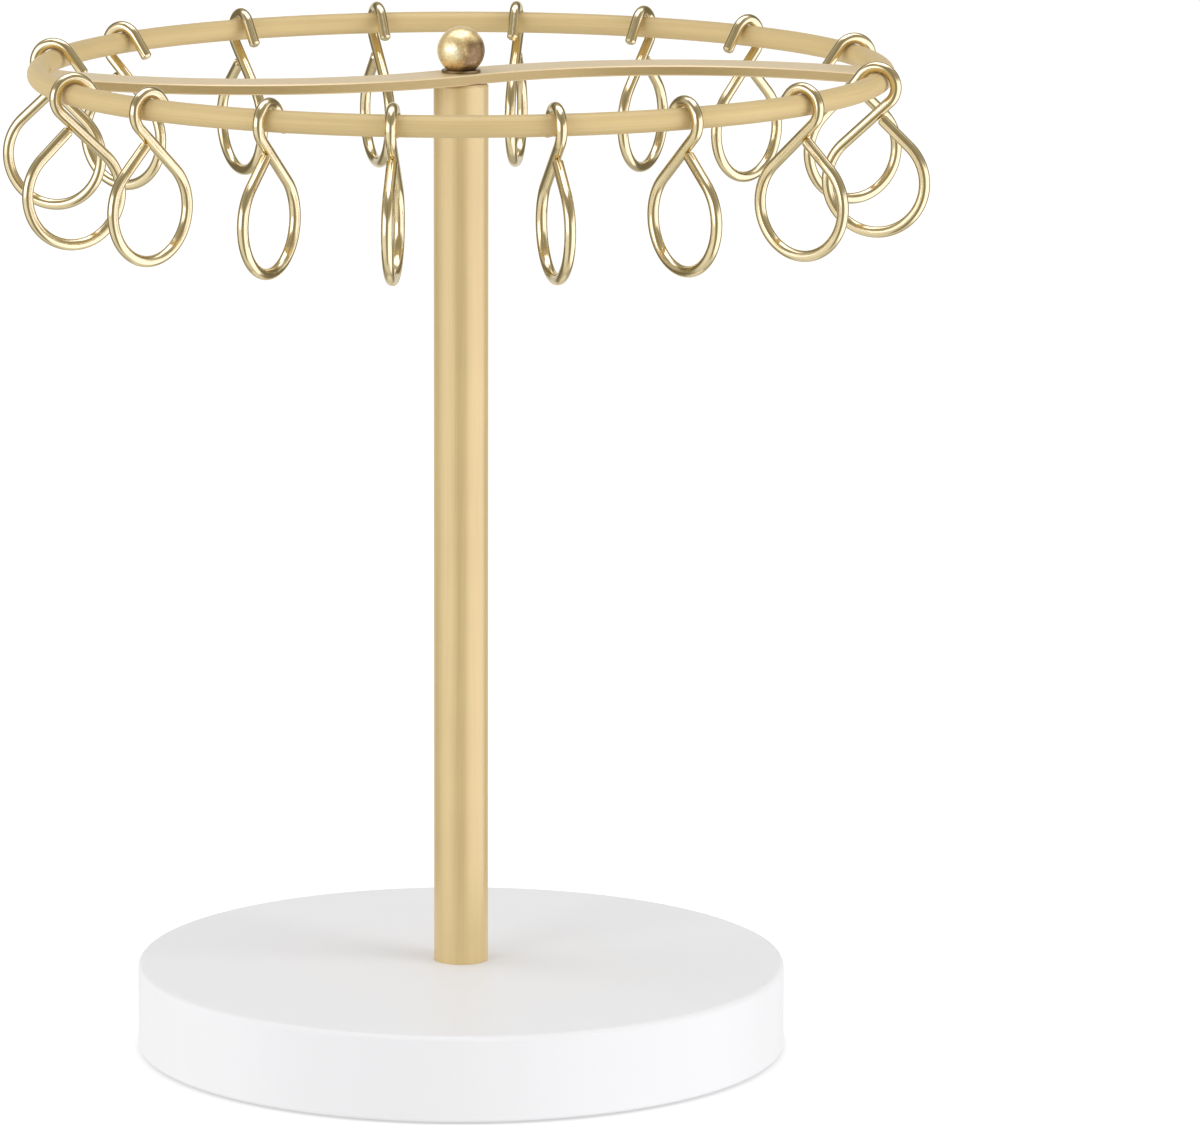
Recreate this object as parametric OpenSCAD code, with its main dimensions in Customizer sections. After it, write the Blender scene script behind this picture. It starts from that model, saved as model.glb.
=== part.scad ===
// Rotating hair clip organizer. A heavy disc carries a tube pole. A ring on a curved crossbar
// turns on a stud at the pole's top, under a ball, and wire hooks hang over the ring.
// Millimetres, +Z up. The origin is the centre of the pad's underside, where the organizer
// rests, and -Y is its front.

/* [Base] */
// Diameter of the base disc
base_d = 152; // [130:1:200]
// Thickness of the base disc
base_t = 20; // [16:0.5:30]
// Radius of the disc's upper edge
base_top_r = 1.2; // [0.4:0.1:3]
// Radius of the disc's lower edge
base_foot_r = 0.8; // [0.4:0.1:1.4]
// Depth of the pole's socket in the disc
socket_depth = 2; // [1:0.5:4]
// Thickness of the disc that stays between the pole and the screw's well
web_t = 9; // [7:0.5:10]

/* [Pad] */
// Thickness of the anti-slip pad
pad_t = 2.2; // [1.6:0.1:3]
// Height of the pad that stands out below the disc
pad_proud = 0.5; // [0.4:0.1:1.4]
// Width of bare disc outside the pad
pad_margin = 4; // [2:0.5:10]
// Width of the step between the screw's well and the pad's hole
pad_hole_rim = 3; // [1:0.5:10]

/* [Base screw] */
// Thread diameter of the base screw
screw_d = 6; // [5:1:8]
// Diameter of the screw's head
screw_head_d = 10.5; // [9:0.5:14]
// Height of the screw's head
screw_head_t = 3.3; // [3:0.1:3.6]
// Width across the flats of the head's socket
screw_key = 4; // [3:0.5:5]
// Depth of the head's socket
screw_key_depth = 2; // [1.5:0.1:2.6]
// Length of the screw inside the lower plug
screw_sink = 14; // [8:1:18]
// Diameter of the washer under the head
base_washer_d = 18; // [15:1:24]
// Thickness of the washer under the head
base_washer_t = 1.6; // [1:0.1:2]

/* [Pole] */
// Diameter of the pole
pole_d = 12.7; // [12:0.1:20]
// Wall of the pole
pole_wall = 1.2; // [0.8:0.1:1.6]
// Length of the pole, with the part in its socket
pole_len = 209.2; // [150:0.2:320]
// Chamfer at the pole's outer ends
pole_edge = 0.3; // [0.1:0.1:0.5]
// Length of the plug in the pole's foot
lower_plug_len = 20; // [19:1:40]
// Length of the plug in the pole's head
upper_plug_len = 15; // [14:1:40]
// Chamfer at the plugs' inner ends
plug_edge = 0.8; // [0.3:0.1:1.5]

/* [Pivot] */
// Diameter of the stud
stud_d = 4; // [3:0.5:5]
// Length of the stud inside the upper plug
stud_sink = 12; // [8:1:13]
// Length of the stud inside the ball
stud_reach = 6; // [4:0.5:6.5]
// Chamfer at the stud's ends
stud_edge = 0.4; // [0.2:0.1:0.6]
// Wall of the bush in the bar
bush_wall = 1; // [0.6:0.1:1.4]
// Thickness of the washer that the bar turns on
thrust_t = 0.3; // [0.3:0.1:1.5]
// Width of the pole's top that the thrust washer leaves bare
thrust_step = 0.3; // [0.3:0.1:1.5]
// Diameter of the washer under the ball
top_washer_d = 9; // [8:0.5:12]
// Thickness of the washer under the ball
top_washer_t = 0.5; // [0.5:0.1:1.5]
// Diameter of the ball
ball_d = 11; // [10:0.5:20]
// Diameter of the flat under the ball
ball_flat_d = 6.5; // [6:0.5:8]

/* [Ring] */
// Outer diameter of the ring
ring_outer_d = 200; // [190:1:260]
// Diameter of the ring's rod
ring_rod_d = 5; // [4:0.5:7]

/* [Crossbar] */
// Width of the bar, seen from above
bar_w = 12; // [10:0.5:16]
// Thickness of the bar
bar_t = 2.4; // [2:0.1:3.6]
// How far each half of the bar bows to its side
bar_bow = 18; // [10:1:26]
// Chamfer along the bar's edges
bar_edge = 0.3; // [0.1:0.1:0.6]
// Distance that the bar's coped ends stop short of the middle of the rod
bar_stop = 1.5; // [1:0.1:1.9]

/* [Hooks] */
// Diameter of the hook wire
hook_wire_d = 2.6; // [1.6:0.1:3]
// Room round the rod inside the hook's eye
hook_eye_room = 0.75; // [0.5:0.05:2]
// Play between the eye and the top of the rod
hook_play = 0.1; // [0.05:0.05:0.3]
// Radius of the loop that holds the clips, to the middle of the wire
hook_loop_r = 11.5; // [9:0.5:14]
// Distance between the circles of the eye and the loop
hook_neck = 5.8; // [4:0.1:12]
// Length of the straight tail behind the eye
hook_tail = 6.5; // [3:0.5:9]
// Gap between the wire's lower end and the leg that it closes on
hook_close_gap = 0.1; // [0.05:0.05:0.5]
// Chamfer at the wire's two cut ends
hook_end_edge = 0.4; // [0.1:0.1:0.6]

/* [Fits] */
// Radial play of pieces pressed or screwed together
fit_play = 0.04; // [0.02:0.01:0.1]
// Radial play of the bush on the stud
run_play = 0.05; // [0.02:0.01:0.1]
// Play above and below the turning bar
face_play = 0.1; // [0.05:0.05:0.3]
// Radial play of washers on their screws
washer_play = 0.15; // [0.1:0.05:0.4]
// Radial play of the screw's shank in the base
screw_play = 0.3; // [0.2:0.1:0.8]
// Radial play of the wide washer in its well
well_play = 1; // [0.5:0.1:2]
// Gap between the bar's coped ends and the rod
weld_gap = 0.03; // [0.02:0.01:0.1]
// Depth that a bore runs on past the screw or stud in it
bore_end = 0.6; // [0.3:0.1:0.9]

/* [Hidden] */
// Bearing of each hook round the ring, in degrees from +X towards +Y
hook_bearings = [19.2, 45.4, 63.2, 82.1, 102, 122.8, 145.5, 167.1,
    206.4, 224.8, 244.3, 261.2, 282.3, 300.4, 321.3, 346.1];
// Turn of each hook about the vertical, away from square to the ring
hook_turns = [5, 3.5, 0.5, 0, 4, -6, -2.5, -4, 1, 1.5, -3, 2.5, 3, 5.5, 0, -4.5];
// Angle up from the outward side at which the eye's arc ends and the tail starts
hook_tail_from = 143;

// Run of every cut past the face that it opens
over = 1;
$fn = 72;

// Heights, from the pad's underside
base_z = pad_proud;
base_top_z = base_z + base_t;
socket_z = base_top_z - socket_depth;
well_z = socket_z - web_t;
pole_top_z = socket_z + pole_len;
bar_z = pole_top_z + thrust_t + face_play;
ring_z = bar_z + ring_rod_d / 2;
top_washer_z = bar_z + bar_t + face_play;
ball_flat_z = top_washer_z + top_washer_t;

// Base and pole
pad_d = base_d - 2 * pad_margin;
well_d = base_washer_d + 2 * well_play;
pad_hole_d = well_d + 2 * pad_hole_rim;
screw_head_z = well_z - base_washer_t - screw_head_t;
pole_bore_d = pole_d - 2 * pole_wall;
plug_d = pole_bore_d - 2 * fit_play;

// Pivot
bush_d = stud_d + 2 * run_play + 2 * bush_wall;
thrust_d = pole_d - 2 * thrust_step;
ball_z = ball_flat_z + sqrt(pow(ball_d / 2, 2) - pow(ball_flat_d / 2, 2));

// Ring and bar: each half of the bar is one arc from the stud to the ring
ring_r = (ring_outer_d - ring_rod_d) / 2;
bar_half = ring_r / 2;
bar_r = (pow(bar_half, 2) + pow(bar_bow, 2)) / (2 * bar_bow);
bar_half_angle = asin(bar_half / bar_r);
// The arc runs on past the ring, so that the coped end is whole
bar_over_angle = 8;

// Hook: two circles joined by their crossed tangents, u outwards and v up from the rod's middle
eye_r = ring_rod_d / 2 + hook_eye_room + hook_wire_d / 2;
eye_v = ring_rod_d / 2 + hook_play + hook_wire_d / 2 - eye_r;
hook_drop = eye_r + hook_loop_r + hook_neck;
loop_v = eye_v - hook_drop;
leg_angle = asin((eye_r + hook_loop_r) / hook_drop);
leg_len = hook_drop * cos(leg_angle);
eye_sweep = leg_angle + hook_tail_from;
// The closing leg stops where its end face would meet the first leg, less the gap
close_back = (hook_wire_d / 2 * (1 + abs(cos(2 * leg_angle))) + hook_close_gap) / sin(2 * leg_angle);
close_len = hook_loop_r / tan(leg_angle) - close_back;
// Straight runs reach a little into the bends that they join, and are a few thousandths of a
// millimetre thicker, so that run and bend always share volume
run_lap = 0.08;
run_step = 0.005;
run_d = hook_wire_d + 2 * run_step;

function hook_name(i) = str("hook_", i < 9 ? "0" : "", i + 1);
HOOKS = [for (i = [0 : len(hook_bearings) - 1]) hook_name(i)];
STAND = ["base_disc", "anti_slip_pad", "base_screw", "base_washer", "pole", "lower_plug", "upper_plug",
    "top_stud", "thrust_washer", "top_washer", "ball_finial"];
FRAME = ["ring", "crossbar", "pivot_bush"];

// Outline of a disc from its axis to its rim, with both edges rounded
module disc_outline(d, t, foot_r, top_r) {
    difference() {
        square([d / 2, t]);
        translate([d / 2 - top_r, t - top_r]) difference() {
            square(top_r + over);
            circle(top_r);
        }
        translate([d / 2 - foot_r, foot_r]) difference() {
            translate([0, -foot_r - over]) square(foot_r + over);
            circle(foot_r);
        }
    }
}

// Plain round bar with a chamfer at each end
module stepped_rod(d, h, foot_edge, top_edge) {
    rotate_extrude() polygon([
        [0, 0], [d / 2 - foot_edge, 0], [d / 2, foot_edge],
        [d / 2, h - top_edge], [d / 2 - top_edge, h], [0, h]
    ]);
}

module washer(d, hole_d, t) {
    difference() {
        cylinder(d = d, h = t);
        translate([0, 0, -over]) cylinder(d = hole_d, h = t + 2 * over);
    }
}

module base_disc() {
    recess = pad_t - pad_proud;
    color("white") translate([0, 0, base_z]) difference() {
        rotate_extrude() disc_outline(base_d, base_t, base_foot_r, base_top_r);
        translate([0, 0, -over]) cylinder(d = pad_d + 2 * screw_play, h = recess + over);
        translate([0, 0, -over]) cylinder(d = well_d, h = well_z - base_z + over);
        cylinder(d = screw_d + 2 * screw_play, h = base_t);
        translate([0, 0, socket_z - base_z]) cylinder(d = pole_d + 2 * fit_play, h = socket_depth + over);
    }
}

module anti_slip_pad() {
    color("dimgray") washer(pad_d, pad_hole_d, pad_t);
}

module base_screw() {
    shank = socket_z + screw_sink - well_z + base_washer_t;
    color("silver") translate([0, 0, screw_head_z]) {
        difference() {
            union() {
                stepped_rod(screw_head_d, screw_head_t, screw_head_t / 3, 0);
                translate([0, 0, screw_head_t]) stepped_rod(screw_d, shank, 0, stud_edge);
            }
            translate([0, 0, -over])
                cylinder(d = screw_key / cos(30), h = screw_key_depth + over, $fn = 6);
        }
    }
}

module base_washer() {
    color("silver") translate([0, 0, well_z - base_washer_t])
        washer(base_washer_d, screw_d + 2 * washer_play, base_washer_t);
}

module pole() {
    color("goldenrod") translate([0, 0, socket_z]) difference() {
        stepped_rod(pole_d, pole_len, pole_edge, pole_edge);
        translate([0, 0, -over]) cylinder(d = pole_bore_d, h = pole_len + 2 * over);
    }
}

module lower_plug() {
    color("silver") translate([0, 0, socket_z]) difference() {
        stepped_rod(plug_d, lower_plug_len, 0, plug_edge);
        translate([0, 0, -over])
            cylinder(d = screw_d + 2 * fit_play, h = lower_plug_len + 2 * over);
    }
}

module upper_plug() {
    bore = stud_sink + bore_end;
    color("silver") translate([0, 0, pole_top_z - upper_plug_len]) difference() {
        stepped_rod(plug_d, upper_plug_len, plug_edge, 0);
        translate([0, 0, upper_plug_len - bore]) cylinder(d = stud_d + 2 * fit_play, h = bore + over);
    }
}

module top_stud() {
    foot_z = pole_top_z - stud_sink;
    color("silver") translate([0, 0, foot_z])
        stepped_rod(stud_d, ball_flat_z + stud_reach - foot_z, stud_edge, stud_edge);
}

module thrust_washer() {
    color("darkgoldenrod") translate([0, 0, pole_top_z])
        washer(thrust_d, stud_d + 2 * washer_play, thrust_t);
}

module top_washer() {
    color("darkgoldenrod") translate([0, 0, top_washer_z])
        washer(top_washer_d, stud_d + 2 * washer_play, top_washer_t);
}

module ball_finial() {
    color("goldenrod") difference() {
        translate([0, 0, ball_z]) sphere(d = ball_d);
        translate([0, 0, ball_flat_z - ball_d]) cylinder(d = 2 * ball_d, h = ball_d);
        translate([0, 0, ball_flat_z - over])
            cylinder(d = stud_d + 2 * fit_play, h = stud_reach + bore_end + over);
    }
}

// Closed circle of round rod about the Z axis
module rod_circle(r, d) {
    rotate_extrude() translate([r, 0]) circle(d = d);
}

module ring() {
    color("goldenrod") translate([0, 0, ring_z]) rod_circle(ring_r, ring_rod_d);
}

// One half of the bar, from the stud along its arc to past the ring. It starts along +X.
module bar_arm() {
    half_w = bar_w / 2;
    mirror([0, 1, 0]) translate([0, bar_r, 0])
        rotate_extrude(start = 270, angle = 2 * bar_half_angle + bar_over_angle)
            translate([bar_r, 0]) polygon([
                [-half_w + bar_edge, 0], [half_w - bar_edge, 0], [half_w, bar_edge],
                [half_w, bar_t - bar_edge], [half_w - bar_edge, bar_t], [-half_w + bar_edge, bar_t],
                [-half_w, bar_t - bar_edge], [-half_w, bar_edge]
            ]);
}

module crossbar() {
    color("goldenrod") translate([0, 0, bar_z]) difference() {
        intersection() {
            rotate([0, 0, bar_half_angle]) {
                bar_arm();
                rotate([0, 0, 180]) bar_arm();
            }
            translate([0, 0, -over]) cylinder(r = ring_r - bar_stop, h = bar_t + 2 * over);
        }
        translate([0, 0, ring_z - bar_z]) rod_circle(ring_r, ring_rod_d + 2 * weld_gap);
        translate([0, 0, -over]) cylinder(d = bush_d + 2 * fit_play, h = bar_t + 2 * over);
    }
}

module pivot_bush() {
    color("ivory") translate([0, 0, bar_z]) washer(bush_d, stud_d + 2 * run_play, bar_t);
}

// Arc of wire in the XY plane, about the origin
module wire_arc(r, from, sweep) {
    rotate_extrude(start = from, angle = sweep) translate([r, 0]) circle(d = hook_wire_d);
}

// Straight wire between two bends, in the XY plane, along +Y from a point on the X axis
module wire_run(x, length) {
    translate([x, -run_lap, 0]) rotate([-90, 0, 0]) cylinder(d = run_d, h = length + 2 * run_lap);
}

// Straight wire from a bend to a chamfered cut end
module wire_end(x, length) {
    translate([x, -run_lap, 0]) rotate([-90, 0, 0]) stepped_rod(run_d, length + run_lap, 0, hook_end_edge);
}

// One hook, bent from a single wire: loop, crossing leg, eye, tail and closing leg
module hook_wire() {
    translate([0, loop_v, 0]) {
        wire_arc(hook_loop_r, 180 - leg_angle, 180 + 2 * leg_angle);
        rotate([0, 0, -leg_angle]) {
            wire_run(-hook_loop_r, leg_len);
            translate([-hook_loop_r - eye_r, leg_len, 0]) {
                wire_arc(eye_r, 0, eye_sweep);
                rotate([0, 0, eye_sweep]) wire_end(eye_r, hook_tail);
            }
        }
        rotate([0, 0, leg_angle]) wire_end(hook_loop_r, close_len);
    }
}

module hook(i) {
    color("gold") rotate([0, 0, hook_bearings[i]]) translate([ring_r, 0, ring_z])
        rotate([0, 0, hook_turns[i]]) rotate([90, 0, 0]) hook_wire();
}

base_disc();
anti_slip_pad();
base_screw();
base_washer();
pole();
lower_plug();
upper_plug();
top_stud();
thrust_washer();
top_washer();
ball_finial();
ring();
crossbar();
pivot_bush();
for (i = [0 : len(HOOKS) - 1])
    hook(i);
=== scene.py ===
"""Looks of the rotating hair clip organizer: satin and polished gold metal on a smooth white base,
in a white studio. Metres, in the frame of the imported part: +Z up, -Y is the front."""

import math
from collections import namedtuple

import bpy
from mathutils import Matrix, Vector

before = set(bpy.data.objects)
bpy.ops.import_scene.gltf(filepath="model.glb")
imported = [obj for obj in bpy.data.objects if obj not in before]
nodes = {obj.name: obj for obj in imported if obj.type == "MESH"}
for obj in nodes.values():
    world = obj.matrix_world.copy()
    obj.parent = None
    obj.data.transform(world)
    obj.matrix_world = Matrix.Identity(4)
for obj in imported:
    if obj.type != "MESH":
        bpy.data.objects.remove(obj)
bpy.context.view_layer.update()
MM = 0.001
# Keeps a length that is divided by above nothing
NOT_ZERO = 0.001

# Camera, as the photograph was taken: from the front, a little above the ring
CAMERA_BACK = 1815.8 * MM
CAMERA_HEIGHT = 456.2 * MM
CAMERA_PITCH = 10.63
LENS = 237.6
SENSOR = 36
# The organizer stands left of the picture's middle
SHIFT_X = 0.1158

# The studio that the metal reflects. Angles are in degrees: bearing 0 is towards the camera and 90
# is to its right, half is half of the width, low and high are heights over the horizon, and edge
# and rise are the widths of the soft edges. Each patch covers the ones before it.
Patch = namedtuple("Patch", "bearing half edge low high rise light")
ROOM = 0.53
TABLE = 0.77
HORIZON_BLUR = 16
STUDIO = {
    "front ceiling": Patch(bearing=0, half=90, edge=40, low=22, high=66, rise=20, light=0.34),
    "backdrop": Patch(bearing=180, half=60, edge=30, low=-4, high=34, rise=16, light=0.80),
    "back top light": Patch(bearing=180, half=70, edge=40, low=50, high=100, rise=20, light=3.2),
    "top light": Patch(bearing=0, half=180, edge=1, low=72, high=100, rise=16, light=3.2),
}
# A dark surround about the way that the camera looks, which draws an outline on round metal. It
# is darkest near the horizon, and lightens over a range of heights.
SURROUND_INNER = 36
SURROUND_OUTER = 76
SURROUND_EDGE = 12
SURROUND_HEIGHTS = (25, 60)
SURROUND_LIGHTS = (0.17, 0.5)
BOXES = {
    "camera side": Patch(bearing=-1, half=20, edge=10, low=-70, high=56, rise=20, light=0.27),
    "left box": Patch(bearing=-60, half=28, edge=10, low=-46, high=28, rise=16, light=0.96),
    "right box": Patch(bearing=70, half=42, edge=12, low=-58, high=16, rise=14, light=1.52),
    "left spot": Patch(bearing=-54, half=24, edge=16, low=-5, high=24, rise=8, light=2.5),
}
# Dark parts of the studio are a little warm, and the brightest ones a little cool, over these
# ranges of light
WARM = (1.12, 1.0, 0.74)
WHITE = (1.0, 1.0, 1.0)
COOL = (1.0, 1.0, 1.2)
WARM_TO_WHITE = (0.12, 0.64)
WHITE_TO_COOL = (0.8, 1.5)
# What dull surfaces get from above and from the white table below, apart from the lamps
FILL_ROOM = 0.67
FILL_TABLE = 0.92

# Soft boxes for the dull surfaces: place, side in metres, and watts
LAMPS = {
    "right_softbox": ((1.58, -0.65, 0.75), 1.2, 14.5),
    "left_softbox": ((-1.67, 0.3, 0.75), 1.7, 10.8),
    "front_softbox": ((-1.15, -1.25, 0.75), 0.8, 5.8),
}
LAMP_AIM = (0, 0, 0.12)

FLOOR_REACH = 8.0
FLOOR_COLOUR = (0.45, 0.45, 0.45)
FLOOR_GLOW = 0.72
# The soft dark line where the base meets the floor
CONTACT_REACH = 4 * MM
CONTACT_SHADE = 0.38

# Colours, linear
GOLD_POLE = (0.695, 0.528, 0.26)
GOLD_RING = (0.67, 0.51, 0.25)
GOLD_WIRE = (0.85, 0.715, 0.42)
# The bar's bright faces, and its sheared upright edges, painted darker as shade
GOLD_BAR = (0.78, 0.615, 0.35)
GOLD_BAR_EDGE_SHADE = (0.47, 0.345, 0.15)
# The ball's leaf: its flecks, its plain gold (painted lighter on the upper left), its painted
# highlight and its stain
GOLD_BALL = (0.66, 0.45, 0.20)
GOLD_BALL_LIGHT = (1.0, 0.79, 0.41)
GOLD_BALL_PAINTED_HIGHLIGHT = (1.0, 0.90, 0.60)
MAUVE = (0.205, 0.125, 0.054)
GOLD_DARK = (0.28, 0.20, 0.10)
GOLD_DULL = (0.60, 0.46, 0.22)
WHITE_LACQUER = (0.86, 0.86, 0.87)
STEEL = (0.62, 0.62, 0.63)
NYLON = (0.82, 0.80, 0.74)
RUBBER = (0.10, 0.10, 0.11)

# Brushed lines, per metre across and along them, and per radian round the ring
LINES_ACROSS = 2600
LINES_ALONG = 28
LINES_PER_RADIAN = 2.8
# How far their tone goes up and down
TONE_SPREAD = 0.05
# How level a face of the bar is, from an upright edge in painted shade to a bright face
BAR_SHADE_LEVELS = (0.3, 0.8)

# Sizes of the noises, in waves per metre
SATIN_CLOUDS = 55.0
WIRE_CLOUDS = 240.0
WIRE_WEAR = 900.0
LEAF_PATCHES = 420.0
LEAF_FLECKS = 2200.0
LACQUER_PEEL = 900.0
LACQUER_CLOUDS = 60.0
TURNED_MARKS = 1500.0
POLYMER_GRAIN = 1800.0
# Shares of one noise in a mix of two
CLOUDS_IN_TONE = 0.35
FLECKS_IN_MOTTLE = 0.4
FLECKS_IN_RELIEF = 0.35
# Ranges of a noise's values, from nearly all of them to those in the middle
WIDE = (0.2, 0.8)
BROAD = (0.25, 0.75)
USUAL = (0.3, 0.7)
NARROW = (0.35, 0.65)
# Heights of the finest relief
BRUSHED_RELIEF = 0.003 * MM
WIRE_RELIEF = 0.02 * MM
LEAF_RELIEF = 0.2 * MM
PEEL_RELIEF = 0.003 * MM
TURNED_RELIEF = 0.01 * MM
POLYMER_RELIEF = 0.03 * MM
# Roughness over a noise's range, or how much it grows over that range
WIRE_ROUGHNESS = (0.10, 0.17)
BALL_ROUGHNESS = (0.32, 0.2)
LACQUER_ROUGHNESS = (0.5, 0.58)
METAL_ROUGHER = 0.08
POLYMER_ROUGHER = 0.1

# On the ball, from its middle to the right (x) and up (z), in metres. Its gold is painted plainer
# and lighter upwards and to the left, as painted light, by this much per metre, over this range of
# its mottle.
PAINTED_LIGHT_SLOPE = 20.0
PLAIN_GOLD = (0.42, 0.60)
# The middle of the painted highlight, a paler patch, the distances over which it comes in, and how
# ragged it is
PAINTED_HIGHLIGHT_X = -2.2 * MM
PAINTED_HIGHLIGHT_Z = -0.8 * MM
PAINTED_HIGHLIGHT_DISTANCES = (3.5 * MM, 1.6 * MM)
PAINTED_HIGHLIGHT_RAGGED = 1.0 * MM
# What the stain comes in over: side, height and noise. Then how far its side slants with the
# height, and its share at most.
STAIN_SIDES = (0.2 * MM, 2.0 * MM)
STAIN_HEIGHTS = (2.6 * MM, 1.2 * MM)
STAIN_RAGGED = (0.80, 0.50)
STAIN_SLANT = 0.2
STAIN_SHARE = 0.92
BALL_METALLIC = 0.6


class Nodes:
    """Short calls to build one node tree."""

    def __init__(self, tree):
        self.tree = tree
        tree.nodes.clear()

    def add(self, kind, inputs=None, **settings):
        made = self.tree.nodes.new(kind)
        for name, value in settings.items():
            setattr(made, name, value)
        for name, value in (inputs or {}).items():
            self.fill(made.inputs[name], value)
        return made

    def fill(self, socket, value):
        if isinstance(value, bpy.types.NodeSocket):
            self.tree.links.new(value, socket)
        else:
            socket.default_value = value

    def math(self, operation, a, b=0.0, c=0.0):
        return self.add("ShaderNodeMath", {0: a, 1: b, 2: c}, operation=operation).outputs[0]

    def product(self, first, *others):
        for other in others:
            first = self.math("MULTIPLY", first, other)
        return first

    def hypotenuse(self, a, b):
        squares = self.math("ADD", self.math("MULTIPLY", a, a), self.math("MULTIPLY", b, b))
        return self.math("SQRT", squares)

    def degrees(self, operation, value):
        return self.math("DEGREES", self.math(operation, value))

    def mean(self, a, b, share):
        """A mean of two values, in which the first has the given share."""
        return self.math("MULTIPLY_ADD", a, share, self.math("MULTIPLY", b, 1 - share))

    def ramp(self, value, low, high, to_low=0.0, to_high=1.0, smooth=True):
        kind = "SMOOTHSTEP" if smooth else "LINEAR"
        inputs = {
            "Value": value,
            "From Min": low,
            "From Max": high,
            "To Min": to_low,
            "To Max": to_high,
        }
        return self.add("ShaderNodeMapRange", inputs, interpolation_type=kind).outputs["Result"]

    def towards(self, start, end, share):
        """One value, moved towards another by a share."""
        return self.math("MULTIPLY_ADD", share, self.math("SUBTRACT", end, start), start)

    def mix_colour(self, share, a, b):
        made = self.add("ShaderNodeMix", {"Factor": share}, data_type="RGBA")
        for name, value in (("A", a), ("B", b)):
            socket = next(s for s in made.inputs if s.name == name and s.type == "RGBA")
            self.fill(socket, value if isinstance(value, bpy.types.NodeSocket) else (*value, 1))
        return next(s for s in made.outputs if s.type == "RGBA")

    def scale_colour(self, colour, factor):
        made = self.add("ShaderNodeVectorMath", {0: colour, "Scale": factor}, operation="SCALE")
        return made.outputs["Vector"]

    def noise(self, vector, scale, detail=2.0, roughness=0.5):
        inputs = {"Vector": vector, "Scale": scale, "Detail": detail, "Roughness": roughness}
        return self.add("ShaderNodeTexNoise", inputs).outputs["Fac"]

    def bump(self, height, distance, strength=1.0):
        inputs = {"Height": height, "Distance": distance, "Strength": strength}
        return self.add("ShaderNodeBump", inputs).outputs["Normal"]

    def place(self):
        """The piece's own coordinates, in metres."""
        return self.add("ShaderNodeTexCoord").outputs["Object"]

    def split(self, vector):
        made = self.add("ShaderNodeSeparateXYZ", {"Vector": vector})
        return [made.outputs[axis] for axis in "XYZ"]

    def join(self, x, y, z):
        return self.add("ShaderNodeCombineXYZ", {"X": x, "Y": y, "Z": z}).outputs["Vector"]

    def stretch(self, vector, *scales):
        parts = zip(self.split(vector), scales)
        return self.join(*[self.math("MULTIPLY", part, scale) for part, scale in parts])


def middle(name):
    """The middle of a piece's box, in its own coordinates."""
    axes = zip(*nodes[name].bound_box)
    return [(min(values) + max(values)) / 2 for values in axes]


def darker(colour, share):
    return [part * share for part in colour]


def material(name):
    made = bpy.data.materials.new(name)
    made.use_nodes = True
    return made, Nodes(made.node_tree)


def surface(tree, colour, metallic, roughness, normal, **constants):
    """Ends a material in one Principled shader."""
    inputs = {
        "Base Color": colour,
        "Metallic": metallic,
        "Roughness": roughness,
        "Normal": normal,
        **constants,
    }
    shader = tree.add("ShaderNodeBsdfPrincipled", inputs)
    tree.add("ShaderNodeOutputMaterial", {"Surface": shader.outputs["BSDF"]})


def satin_gold(name, colour, grain_of, metallic, smoothest, gloss=0.5):
    """Satin plated gold with fine brushed lines. grain_of gives coordinates stretched along the
    lines, and colour is one colour or a maker of one that isn't the same all over."""
    made, tree = material(name)
    place = tree.place()
    grain = tree.noise(grain_of(tree, place), 1.0, detail=3.0, roughness=0.6)
    cloud = tree.noise(place, SATIN_CLOUDS, detail=2.0)
    tone = tree.ramp(tree.mean(cloud, grain, CLOUDS_IN_TONE), *USUAL)
    tone = tree.ramp(tone, 0.0, 1.0, 1 - TONE_SPREAD, 1 + TONE_SPREAD, smooth=False)
    base = colour(tree) if callable(colour) else colour
    toned = tree.scale_colour(base, tone)
    roughness = tree.ramp(grain, *BROAD, smoothest, smoothest + METAL_ROUGHER)
    normal = tree.bump(grain, BRUSHED_RELIEF, strength=0.3)
    surface(tree, toned, metallic, roughness, normal, **{"Specular IOR Level": gloss})
    return made


def lines_along_pole(tree, place):
    return tree.stretch(place, LINES_ACROSS, LINES_ACROSS, LINES_ALONG)


def lines_along_bar(tree, place):
    return tree.stretch(place, LINES_ALONG, LINES_ACROSS, LINES_ACROSS)


def lines_round_ring(tree, place):
    x, y, z = tree.split(place)
    polar = tree.join(tree.math("ARCTAN2", y, x), tree.hypotenuse(x, y), z)
    return tree.stretch(polar, LINES_PER_RADIAN, LINES_ACROSS, LINES_ACROSS)


def bar_painted_shade(tree):
    """Bright flat faces, and upright sheared edges painted darker as shade, told apart by the way
    that they face.
    """
    normal = tree.add("ShaderNodeTexCoord").outputs["Normal"]
    level = tree.math("ABSOLUTE", tree.split(normal)[2])
    # Painted shade: upright faces get a darker gold than level ones
    return tree.mix_colour(tree.ramp(level, *BAR_SHADE_LEVELS), GOLD_BAR_EDGE_SHADE, GOLD_BAR)


def polished_wire():
    made, tree = material("gold_wire_polished")
    place = tree.place()
    cloud = tree.noise(place, WIRE_CLOUDS, detail=3.0)
    colour = tree.mix_colour(tree.ramp(cloud, *NARROW), darker(GOLD_WIRE, 0.95), GOLD_WIRE)
    roughness = tree.ramp(tree.noise(place, WIRE_WEAR), *USUAL, *WIRE_ROUGHNESS)
    normal = tree.bump(cloud, WIRE_RELIEF, strength=0.5)
    surface(tree, colour, 1.0, roughness, normal)
    return made


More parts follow.
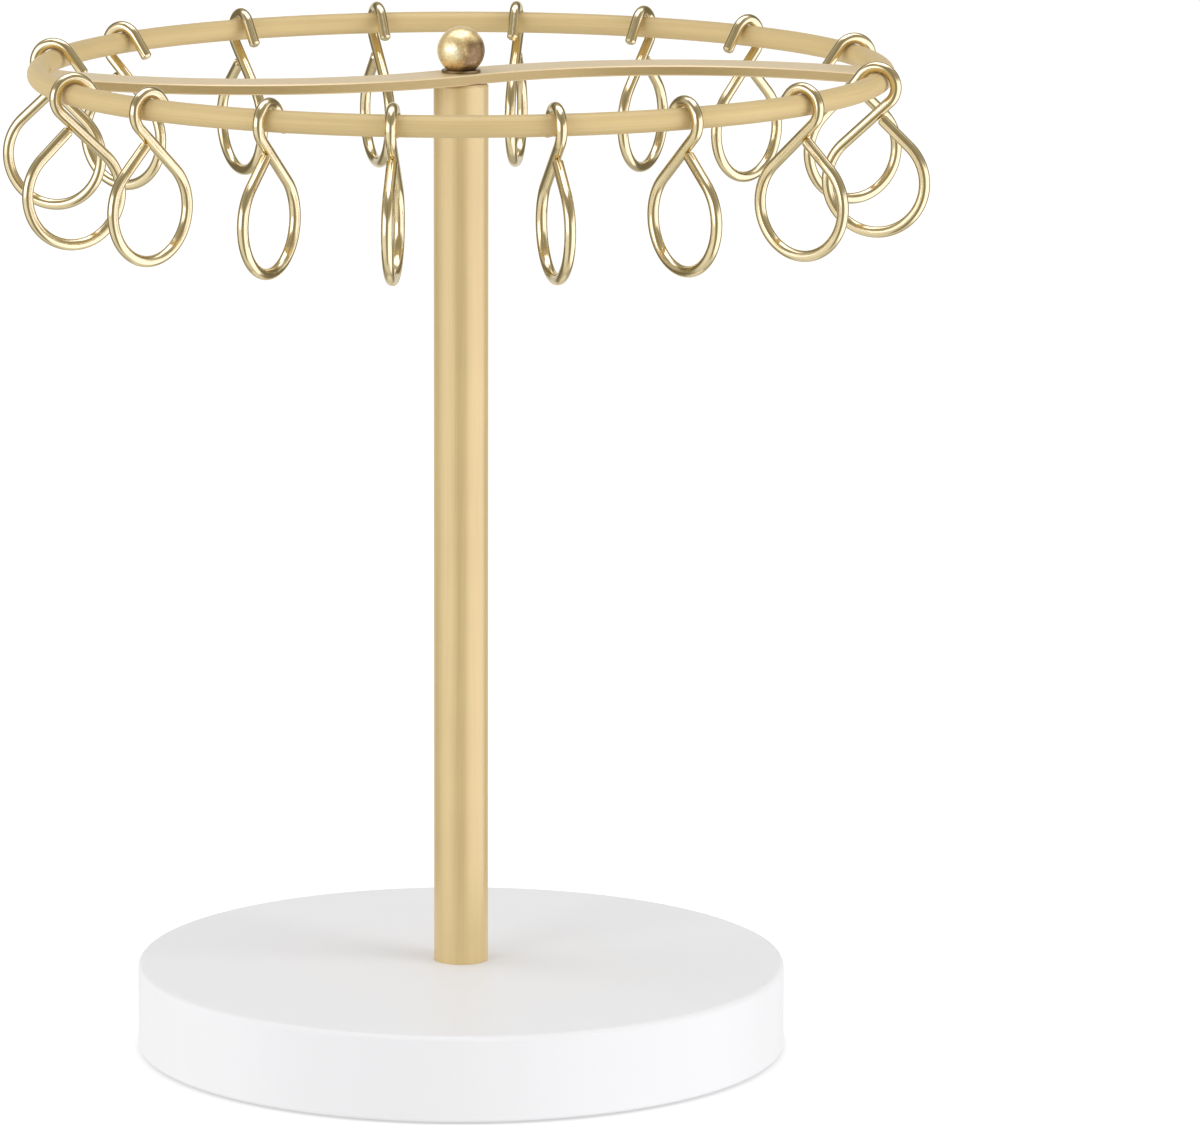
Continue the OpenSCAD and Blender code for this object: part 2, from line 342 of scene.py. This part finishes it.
def ball_colour(tree, place, patches, flecks):
    """Gold leaf painted lighter up to the left, flecked low on the right, a painted highlight on
    the left, a stain.
    """
    x, _, z = tree.split(place)
    middle_x, _, middle_z = middle("ball_finial")
    x, z = tree.math("SUBTRACT", x, middle_x), tree.math("SUBTRACT", z, middle_z)

    mottle = tree.mean(flecks, patches, FLECKS_IN_MOTTLE)
    # Painted light: the gold grows plainer and lighter up and to the left
    painted_light = tree.math("MULTIPLY", tree.math("SUBTRACT", z, x), PAINTED_LIGHT_SLOPE)
    plain_and_lit = tree.ramp(tree.math("ADD", mottle, painted_light), *PLAIN_GOLD)
    colour = tree.mix_colour(plain_and_lit, GOLD_BALL, GOLD_BALL_LIGHT)

    # Painted highlight: a paler patch on the ball's left
    off = tree.hypotenuse(tree.math("SUBTRACT", x, PAINTED_HIGHLIGHT_X), tree.math("SUBTRACT", z, PAINTED_HIGHLIGHT_Z))
    off = tree.math("MULTIPLY_ADD", patches, PAINTED_HIGHLIGHT_RAGGED, off)
    colour = tree.mix_colour(tree.ramp(off, *PAINTED_HIGHLIGHT_DISTANCES), colour, GOLD_BALL_PAINTED_HIGHLIGHT)

    side = tree.math("SUBTRACT", x, tree.math("MULTIPLY", z, STAIN_SLANT))
    ragged = tree.ramp(patches, *STAIN_RAGGED)
    stain = tree.product(tree.ramp(side, *STAIN_SIDES), ragged, tree.ramp(z, *STAIN_HEIGHTS))
    return tree.mix_colour(tree.math("MULTIPLY", stain, STAIN_SHARE), colour, MAUVE)


def leafed_ball():
    """Cast ball with a mottled gold leaf look, with painted light and a painted highlight in its
    colour.
    """
    made, tree = material("gold_ball_leafed")
    place = tree.place()
    patches = tree.noise(place, LEAF_PATCHES, detail=5.0, roughness=0.65)
    flecks = tree.noise(place, LEAF_FLECKS, detail=3.0, roughness=0.6)
    roughness = tree.ramp(patches, *USUAL, *BALL_ROUGHNESS)
    height = tree.math("MULTIPLY_ADD", flecks, FLECKS_IN_RELIEF, patches)
    normal = tree.bump(height, LEAF_RELIEF, strength=0.8)
    colour = ball_colour(tree, place, patches, flecks)
    surface(tree, colour, BALL_METALLIC, roughness, normal)
    return made


def white_lacquer():
    """Smooth white with a thin clear gloss and the faintest orange peel."""
    made, tree = material("white_lacquer")
    place = tree.place()
    peel = tree.noise(place, LACQUER_PEEL, detail=2.0)
    cloud = tree.noise(place, LACQUER_CLOUDS, detail=1.0)
    colour = tree.mix_colour(cloud, darker(WHITE_LACQUER, 0.985), WHITE_LACQUER)
    roughness = tree.ramp(peel, *WIDE, *LACQUER_ROUGHNESS)
    normal = tree.bump(peel, PEEL_RELIEF, strength=0.5)
    gloss = {"Specular IOR Level": 0.25, "Coat Weight": 0.12, "Coat Roughness": 0.1}
    surface(tree, colour, 0.0, roughness, normal, **gloss)
    return made


def plain_metal(name, colour, roughness):
    made, tree = material(name)
    turned = tree.noise(tree.place(), TURNED_MARKS, detail=2.0)
    shade = tree.mix_colour(turned, darker(colour, 0.9), colour)
    roughness = tree.ramp(turned, *USUAL, roughness, roughness + METAL_ROUGHER)
    surface(tree, shade, 1.0, roughness, tree.bump(turned, TURNED_RELIEF))
    return made


def plain_polymer(name, colour, roughness):
    made, tree = material(name)
    grain = tree.noise(tree.place(), POLYMER_GRAIN, detail=3.0)
    shade = tree.mix_colour(grain, darker(colour, 0.9), colour)
    roughness = tree.ramp(grain, *USUAL, roughness, roughness + POLYMER_ROUGHER)
    surface(tree, shade, 0.0, roughness, tree.bump(grain, POLYMER_RELIEF))
    return made


def paint(made, *names):
    for name in names:
        mesh = nodes[name].data
        mesh.materials.clear()
        mesh.materials.append(made)


def dress():
    hooks = [name for name in nodes if name.startswith("hook_")]
    hardware = ("base_screw", "base_washer", "lower_plug", "upper_plug", "top_stud")
    paint(white_lacquer(), "base_disc")
    brushed = satin_gold(
        "gold_satin_pole", GOLD_POLE, lines_along_pole, metallic=0.26, smoothest=0.28
    )
    paint(brushed, "pole")
    brushed = satin_gold(
        "gold_satin_ring", GOLD_RING, lines_round_ring, metallic=0.1, smoothest=0.42, gloss=0.2
    )
    paint(brushed, "ring")
    brushed = satin_gold(
        "gold_satin_bar", bar_painted_shade, lines_along_bar, metallic=0.3, smoothest=0.34
    )
    paint(brushed, "crossbar")
    paint(polished_wire(), *hooks)
    paint(leafed_ball(), "ball_finial")
    paint(plain_metal("dark_brass", GOLD_DARK, roughness=0.3), "top_washer")
    paint(plain_metal("dull_gold", GOLD_DULL, roughness=0.4), "thrust_washer")
    paint(plain_metal("zinc_steel", STEEL, roughness=0.3), *hardware)
    paint(plain_polymer("nylon", NYLON, roughness=0.45), "pivot_bush")
    paint(plain_polymer("rubber", RUBBER, roughness=0.7), "anti_slip_pad")


def lay(tree, x, y, height, light, patch):
    """The light with one soft-edged patch laid over it. x and y are the level direction."""
    bearing = math.radians(patch.bearing)
    facing = tree.math(
        "ADD",
        tree.math("MULTIPLY", x, math.sin(bearing)),
        tree.math("MULTIPLY", y, -math.cos(bearing)),
    )
    facing = tree.math("MINIMUM", 1.0, tree.math("MAXIMUM", -1.0, facing))
    off = tree.degrees("ARCCOSINE", facing)
    edge, rise = patch.edge / 2, patch.rise / 2
    across = tree.ramp(off, patch.half + edge, patch.half - edge)
    over = tree.ramp(height, patch.low - rise, patch.low + rise)
    under = tree.ramp(height, patch.high + rise, patch.high - rise)
    return tree.towards(light, patch.light, tree.product(across, over, under))


def surround(tree, direction, height, light):
    """The light with the dark surround laid over it."""
    pitch = math.radians(CAMERA_PITCH)
    inputs = {0: direction, 1: (0, math.cos(pitch), -math.sin(pitch))}
    facing = tree.add("ShaderNodeVectorMath", inputs, operation="DOT_PRODUCT").outputs["Value"]
    off = tree.degrees("ARCCOSINE", facing)
    edge = SURROUND_EDGE / 2
    outside = tree.ramp(off, SURROUND_INNER - edge, SURROUND_INNER + edge)
    inside = tree.ramp(off, SURROUND_OUTER + edge, SURROUND_OUTER - edge)
    dark = tree.ramp(tree.math("ABSOLUTE", height), *SURROUND_HEIGHTS, *SURROUND_LIGHTS)
    return tree.towards(light, dark, tree.math("MULTIPLY", outside, inside))


def studio():
    """White for the camera. Metal reflects the studio, and dull surfaces get a plain fill."""
    world = bpy.data.worlds.new("studio")
    bpy.context.scene.world = world
    world.use_nodes = True
    tree = Nodes(world.node_tree)
    direction = tree.add("ShaderNodeTexCoord").outputs["Generated"]
    x, y, z = tree.split(direction)
    height = tree.degrees("ARCSINE", z)
    level = tree.math("MAXIMUM", tree.hypotenuse(x, y), NOT_ZERO)
    x, y = tree.math("DIVIDE", x, level), tree.math("DIVIDE", y, level)
    fill = tree.ramp(height, -HORIZON_BLUR, 0, FILL_TABLE, FILL_ROOM)
    light = tree.ramp(height, -HORIZON_BLUR, 0, TABLE, ROOM)
    for patch in STUDIO.values():
        light = lay(tree, x, y, height, light, patch)
    light = surround(tree, direction, height, light)
    for patch in BOXES.values():
        light = lay(tree, x, y, height, light, patch)
    tint = tree.mix_colour(tree.ramp(light, *WARM_TO_WHITE), WARM, WHITE)
    tint = tree.mix_colour(tree.ramp(light, *WHITE_TO_COOL), tint, COOL)
    ray = tree.add("ShaderNodeLightPath").outputs
    tint = tree.mix_colour(ray["Is Glossy Ray"], WHITE, tint)
    strength = tree.ramp(ray["Is Glossy Ray"], 0.0, 1.0, fill, light, smooth=False)
    strength = tree.ramp(ray["Is Camera Ray"], 0.0, 1.0, strength, 1.0, smooth=False)
    background = tree.add("ShaderNodeBackground", {"Color": tint, "Strength": strength})
    tree.add("ShaderNodeOutputWorld", {"Surface": background.outputs["Background"]})


def link(name, data):
    made = bpy.data.objects.new(name, data)
    bpy.context.scene.collection.objects.link(made)
    return made


def floor_white():
    """White that runs into the background, apart from soft shadows and a dark contact line."""
    made, tree = material("floor_white")
    diffuse = tree.add("ShaderNodeBsdfDiffuse", {"Color": (*FLOOR_COLOUR, 1)})
    seen = tree.add("ShaderNodeLightPath").outputs["Is Camera Ray"]
    inputs = {"Distance": CONTACT_REACH}
    open_share = tree.add("ShaderNodeAmbientOcclusion", inputs, samples=8).outputs["AO"]
    shade = tree.ramp(open_share, 0.0, 1.0, CONTACT_SHADE, 1.0, smooth=False)
    glow = tree.add("ShaderNodeEmission", {"Strength": tree.product(seen, shade, FLOOR_GLOW)})
    shaders = {0: diffuse.outputs["BSDF"], 1: glow.outputs["Emission"]}
    both = tree.add("ShaderNodeAddShader", shaders)
    tree.add("ShaderNodeOutputMaterial", {"Surface": both.outputs["Shader"]})
    return made


def floor():
    mesh = bpy.data.meshes.new("floor")
    ends = ((-1, -1), (1, -1), (1, 1), (-1, 1))
    corners = [(x * FLOOR_REACH, y * FLOOR_REACH, 0) for x, y in ends]
    mesh.from_pydata(corners, [], [(0, 1, 2, 3)])
    mesh.materials.append(floor_white())
    made = link("floor", mesh)
    made.visible_glossy = False
    made.visible_diffuse = False
    made.visible_shadow = False


def lamp(name, place, side, watts):
    data = bpy.data.lights.new(name, "AREA")
    data.shape = "SQUARE"
    data.size = side
    data.energy = watts
    made = link(name, data)
    made.location = place
    aim = Vector(LAMP_AIM) - Vector(place)
    made.rotation_euler = aim.to_track_quat("-Z", "Y").to_euler()
    made.visible_camera = False
    made.visible_glossy = False


def camera():
    data = bpy.data.cameras.new("camera")
    data.sensor_width = SENSOR
    data.lens = LENS
    data.shift_x = SHIFT_X
    made = link("camera", data)
    made.location = (0, -CAMERA_BACK, CAMERA_HEIGHT)
    made.rotation_euler = (math.radians(90 - CAMERA_PITCH), 0, 0)
    bpy.context.scene.camera = made


bpy.context.scene.view_settings.view_transform = "Standard"
camera()
studio()
floor()
for name, settings in LAMPS.items():
    lamp(name, *settings)
dress()
